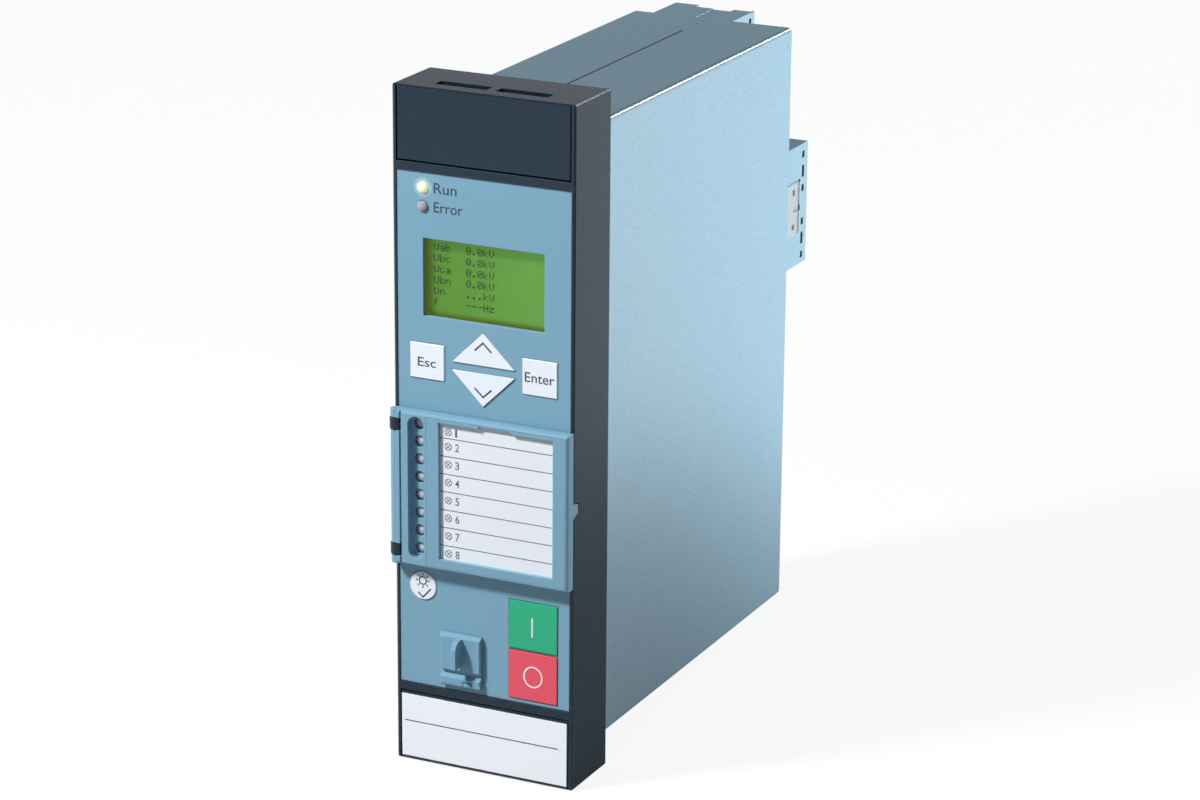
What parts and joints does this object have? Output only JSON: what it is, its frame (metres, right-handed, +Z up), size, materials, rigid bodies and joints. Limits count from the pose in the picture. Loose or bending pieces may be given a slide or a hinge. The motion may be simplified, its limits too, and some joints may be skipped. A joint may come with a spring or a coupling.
{
  "type": "protection relay",
  "caption": "Flush-mounted protection relay: narrow upright front with display, keys, hinged label flap and port cover, and a deep sheet-metal housing with rear terminals.",
  "frame": {"origin": "middle of the four mounting holes, on the plane where the front frame meets the cubicle sheet", "axes": "+X to the right seen from the front, +Y to the rear, +Z up"},
  "size_m": [0.0753, 0.2306, 0.266],
  "materials": {
    "slate": "fine-grained moulded plastic",
    "plate": "white laminate, bare",
    "panel": "satin moulded plastic",
    "window": "clear acrylic",
    "display": "backlit display glass",
    "key_white": "satin key caps",
    "key_green": "satin key cap",
    "key_red": "satin key cap",
    "lamp": "clear moulded lamp",
    "card": "white card",
    "steel": "zinc-plated steel",
    "sheet": "zinc-coated sheet steel with a fine grain",
    "black": "moulded plastic",
    "brass": "passivated",
    "board": "glass-fibre board",
    "core": "laminated core and coil",
    "relay_blue": "sealed cases",
    "cell": "sleeved cell"
  },
  "bodies": {
    "relay": {"bezel_frame": "slate", "top_cap": "slate", "bottom_cap": "slate", "nameplate": "plate", "front_panel": "panel", "display_window": "window", "lcd_module": "display", "run_led": "lamp", "error_led": "lamp", "indicator_leds": "lamp", "hinge_pin": "steel", "usb_cover_pin": "steel", "usb_socket": "steel", "panel_screws": "steel", "rear_screws": "steel", "frame_screws": "steel", "bracket_clip": "steel", "terminal_screws": "steel", "housing_left": "sheet", "housing_right": "sheet", "rear_plate": "sheet", "top_bracket": "sheet", "side_bracket": "sheet", "key_switches": "black", "top_terminal_block": "black", "side_terminal_block": "black", "lower_terminal_block": "black", "board_guides": "black", "logic_chips": "black", "rear_connectors": "black", "board_connector": "black", "input_couplers": "black", "battery_holder": "black", "earth_screw": "brass", "front_board": "board", "cpu_board": "board", "io_board": "board", "voltage_transformers": "core", "power_transformer": "core", "output_relays": "relay_blue", "supply_capacitors": "relay_blue", "buffer_battery": "cell"},
    "flap": {"label_flap": "panel", "label_frame": "panel", "label_strip": "card"},
    "port_cover": {"usb_cover": "panel"},
    "esc_button": {"esc_key": "key_white"},
    "enter_button": {"enter_key": "key_white"},
    "up_button": {"up_key": "key_white"},
    "down_button": {"down_key": "key_white"},
    "lamp_button": {"lamp_key": "key_white"},
    "close_button": {"close_key": "key_green"},
    "open_button": {"open_key": "key_red"}
  },
  "joints": [
    {"name": "flap_hinge", "type": "hinge", "parent": "relay", "child": "flap", "pos_m": [-0.03525, -0.03155, -0.021], "axis": [0, 0, -1], "range_deg": [0, 120]},
    {"name": "port_cover_hinge", "type": "hinge", "parent": "relay", "child": "port_cover", "pos_m": [-0.0091, -0.03, -0.0975], "axis": [1, 0, 0], "range_deg": [0, 100]},
    {"name": "esc_press", "type": "slide", "parent": "relay", "child": "esc_button", "axis": [0, 1, 0], "range_m": [0, 0.0006], "stiffness_N_per_m": 800, "springref_m": -0.0005},
    {"name": "enter_press", "type": "slide", "parent": "relay", "child": "enter_button", "axis": [0, 1, 0], "range_m": [0, 0.0006], "stiffness_N_per_m": 800, "springref_m": -0.0005},
    {"name": "up_press", "type": "slide", "parent": "relay", "child": "up_button", "axis": [0, 1, 0], "range_m": [0, 0.0006], "stiffness_N_per_m": 800, "springref_m": -0.0005},
    {"name": "down_press", "type": "slide", "parent": "relay", "child": "down_button", "axis": [0, 1, 0], "range_m": [0, 0.0006], "stiffness_N_per_m": 800, "springref_m": -0.0005},
    {"name": "lamp_press", "type": "slide", "parent": "relay", "child": "lamp_button", "axis": [0, 1, 0], "range_m": [0, 0.0006], "stiffness_N_per_m": 800, "springref_m": -0.0005},
    {"name": "close_press", "type": "slide", "parent": "relay", "child": "close_button", "axis": [0, 1, 0], "range_m": [0, 0.0006], "stiffness_N_per_m": 800, "springref_m": -0.0005},
    {"name": "open_press", "type": "slide", "parent": "relay", "child": "open_button", "axis": [0, 1, 0], "range_m": [0, 0.0006], "stiffness_N_per_m": 800, "springref_m": -0.0005}
  ]
}
